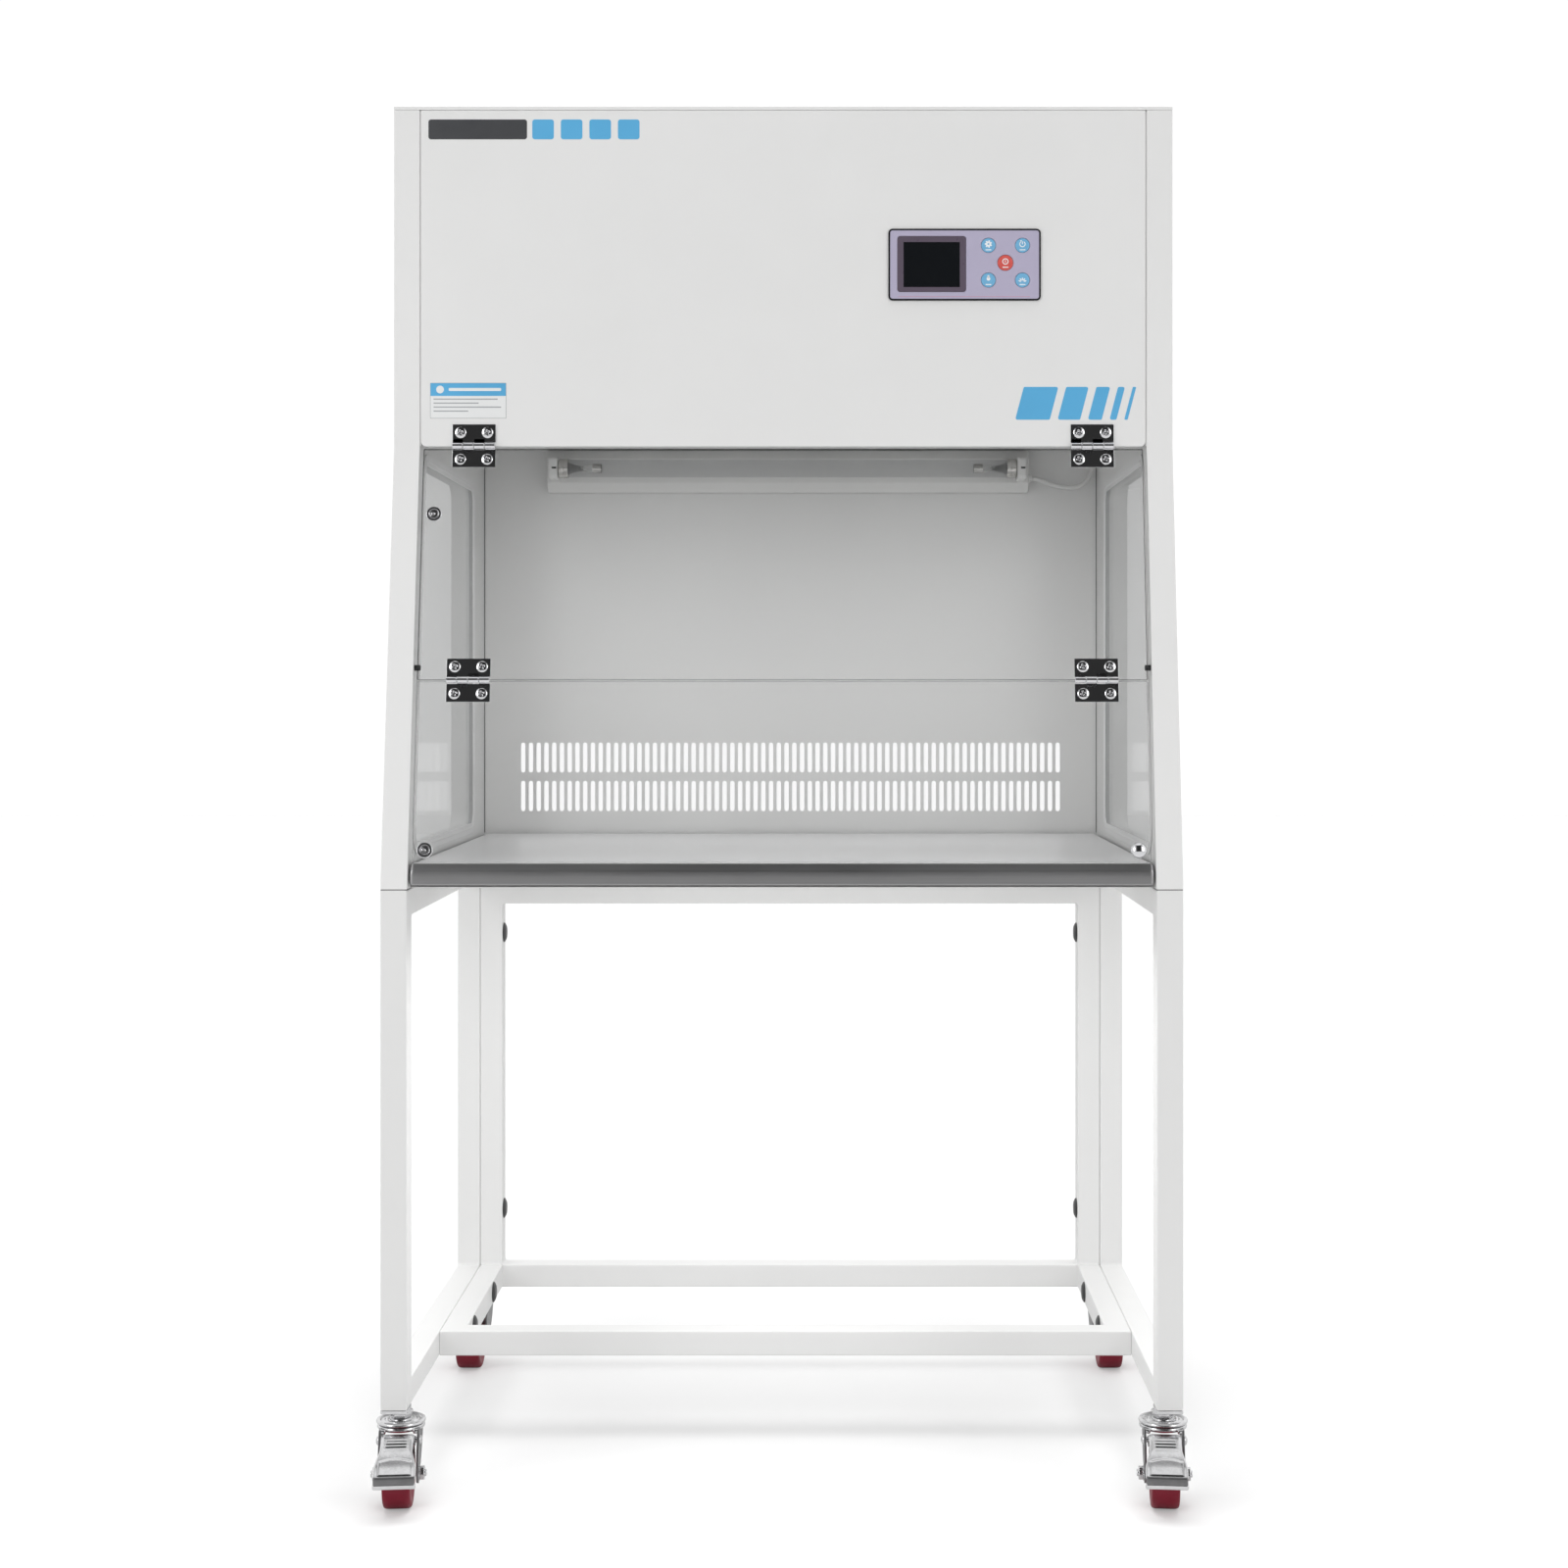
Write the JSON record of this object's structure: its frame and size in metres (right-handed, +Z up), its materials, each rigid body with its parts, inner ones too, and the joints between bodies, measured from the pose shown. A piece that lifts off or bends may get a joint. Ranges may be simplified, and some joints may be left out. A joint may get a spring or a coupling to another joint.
{
  "type": "laminar flow clean bench",
  "caption": "Vertical laminar-flow clean bench with a folding clear sash, stainless worktop, slotted rear wall and lamp, on a tube stand with braked swivel casters.",
  "frame": {"origin": "bottom centre of the bounding box, on the floor", "axes": "+X to the user's right, +Y from the sash to the back panel, +Z up"},
  "size_m": [0.921, 0.675, 1.585],
  "materials": {
    "powder_coat": "off-white powder coat with a fine orange peel",
    "chrome": "bright plating",
    "stainless": "brushed stainless steel",
    "galvanised": "zinc-plated sheet",
    "red_polyurethane": "satin",
    "clear_acrylic": "clear, polished",
    "clear_glass": "clear, polished",
    "grey_rubber": "matt",
    "filter_frame_board": "plain board",
    "filter_paper": "matt pleated glass-fibre paper",
    "filter_foam": "open foam",
    "control_overlay": "satin printed overlay",
    "display_bezel": "gloss",
    "blue_button": "satin",
    "red_button": "satin",
    "white_plastic": "satin",
    "lamp_glass": "clear quartz tube",
    "black_plastic": "matt"
  },
  "bodies": {
    "bench": {"stand_side_frame_left": "powder_coat", "stand_side_frame_right": "powder_coat", "stand_centre_frame": "powder_coat", "side_panel_left": "powder_coat", "side_panel_right": "powder_coat", "back_panel": "powder_coat", "top_panel": "powder_coat", "front_cover": "powder_coat", "base_pan": "powder_coat", "diffuser_plate": "powder_coat", "caster_mount_front_left": "chrome", "caster_mount_front_right": "chrome", "caster_mount_rear_left": "chrome", "caster_mount_rear_right": "chrome", "upper_hinge_fixed_leaf_left": "chrome", "side_window_left": "clear_glass", "window_gasket_left": "grey_rubber", "upper_hinge_fixed_leaf_right": "chrome", "side_window_right": "clear_glass", "window_gasket_right": "grey_rubber", "worktop": "stainless", "blower_deck": "galvanised", "blower_housing": "galvanised", "blower_motor": "galvanised", "filter_frame": "filter_frame_board", "filter_medium": "filter_paper", "pre_filter": "filter_foam", "control_panel": "control_overlay", "display_screen": "display_bezel", "lamp_batten": "white_plastic", "lamp_cable": "white_plastic", "lamp_tube": "lamp_glass", "power_inlet": "black_plastic"},
    "upper_sash_body": {"upper_sash": "clear_acrylic", "upper_hinge_moving_leaf_left": "chrome", "upper_hinge_moving_leaf_right": "chrome", "middle_hinge_fixed_leaf_left": "chrome", "middle_hinge_fixed_leaf_right": "chrome", "catch_magnet_upper": "chrome"},
    "lower_sash_body": {"lower_sash": "clear_acrylic", "middle_hinge_moving_leaf_left": "chrome", "middle_hinge_moving_leaf_right": "chrome", "catch_magnet_lower": "chrome", "sash_bumper": "chrome"},
    "swivel_front_left": {"caster_fork_front_left": "chrome"},
    "wheel_front_left": {"caster_wheel_front_left": "red_polyurethane"},
    "swivel_front_right": {"caster_fork_front_right": "chrome"},
    "wheel_front_right": {"caster_wheel_front_right": "red_polyurethane"},
    "swivel_rear_left": {"caster_fork_rear_left": "chrome"},
    "wheel_rear_left": {"caster_wheel_rear_left": "red_polyurethane"},
    "swivel_rear_right": {"caster_fork_rear_right": "chrome"},
    "wheel_rear_right": {"caster_wheel_rear_right": "red_polyurethane"},
    "pedal_front_left": {"brake_pedal_front_left": "chrome"},
    "pedal_front_right": {"brake_pedal_front_right": "chrome"},
    "fan_button_body": {"fan_button": "blue_button"},
    "timer_button_body": {"timer_button": "blue_button"},
    "power_button_body": {"power_button": "red_button"},
    "light_button_body": {"light_button": "blue_button"},
    "sterilise_button_body": {"sterilise_button": "blue_button"},
    "impeller_body": {"impeller": "galvanised"}
  },
  "joints": [
    {"name": "upper_sash_hinge", "type": "hinge", "parent": "bench", "child": "upper_sash_body", "pos_m": [0, -0.1833, 1.1925], "axis": [-1, 0, 0], "range_deg": [0, 100]},
    {"name": "lower_sash_hinge", "type": "hinge", "parent": "upper_sash_body", "child": "lower_sash_body", "pos_m": [0, -0.22775, 0.92203], "axis": [-1, 0, 0], "range_deg": [0, 180]},
    {"name": "swivel_front_left_turn", "type": "hinge", "parent": "bench", "child": "swivel_front_left", "pos_m": [-0.4295, -0.2455, 0.0857], "axis": [0, 0, 1], "continuous": true},
    {"name": "wheel_front_left_spin", "type": "hinge", "parent": "swivel_front_left", "child": "wheel_front_left", "pos_m": [-0.4268, -0.27638, 0.0375], "axis": [0.9962, 0.0872, 0], "continuous": true},
    {"name": "swivel_front_right_turn", "type": "hinge", "parent": "bench", "child": "swivel_front_right", "pos_m": [0.4295, -0.2455, 0.0857], "axis": [0, 0, 1], "continuous": true},
    {"name": "wheel_front_right_spin", "type": "hinge", "parent": "swivel_front_right", "child": "wheel_front_right", "pos_m": [0.4268, -0.27638, 0.0375], "axis": [0.9962, -0.0872, 0], "continuous": true},
    {"name": "swivel_rear_left_turn", "type": "hinge", "parent": "bench", "child": "swivel_rear_left", "pos_m": [-0.4295, 0.3055, 0.0857], "axis": [0, 0, 1], "continuous": true},
    {"name": "wheel_rear_left_spin", "type": "hinge", "parent": "swivel_rear_left", "child": "wheel_rear_left", "pos_m": [-0.4295, 0.2745, 0.0375], "axis": [1, 0, 0], "continuous": true},
    {"name": "swivel_rear_right_turn", "type": "hinge", "parent": "bench", "child": "swivel_rear_right", "pos_m": [0.4295, 0.3055, 0.0857], "axis": [0, 0, 1], "continuous": true},
    {"name": "wheel_rear_right_spin", "type": "hinge", "parent": "swivel_rear_right", "child": "wheel_rear_right", "pos_m": [0.4295, 0.2745, 0.0375], "axis": [1, 0, 0], "continuous": true},
    {"name": "pedal_front_left_press", "type": "hinge", "parent": "swivel_front_left", "child": "pedal_front_left", "pos_m": [-0.4275, -0.26841, 0.072], "axis": [0.9962, 0.0872, 0], "range_deg": [0, 12]},
    {"name": "pedal_front_right_press", "type": "hinge", "parent": "swivel_front_right", "child": "pedal_front_right", "pos_m": [0.4275, -0.26841, 0.072], "axis": [0.9962, -0.0872, 0], "range_deg": [0, 12]},
    {"name": "fan_button_press", "type": "slide", "parent": "bench", "child": "fan_button_body", "axis": [0, 1, 0], "range_m": [0, 0.0005], "stiffness_N_per_m": 1500},
    {"name": "timer_button_press", "type": "slide", "parent": "bench", "child": "timer_button_body", "axis": [0, 1, 0], "range_m": [0, 0.0005], "stiffness_N_per_m": 1500},
    {"name": "power_button_press", "type": "slide", "parent": "bench", "child": "power_button_body", "axis": [0, 1, 0], "range_m": [0, 0.0005], "stiffness_N_per_m": 1500},
    {"name": "light_button_press", "type": "slide", "parent": "bench", "child": "light_button_body", "axis": [0, 1, 0], "range_m": [0, 0.0005], "stiffness_N_per_m": 1500},
    {"name": "sterilise_button_press", "type": "slide", "parent": "bench", "child": "sterilise_button_body", "axis": [0, 1, 0], "range_m": [0, 0.0005], "stiffness_N_per_m": 1500},
    {"name": "impeller_spin", "type": "hinge", "parent": "bench", "child": "impeller_body", "pos_m": [0, 0.0775, 1.45], "axis": [1, 0, 0], "continuous": true}
  ]
}
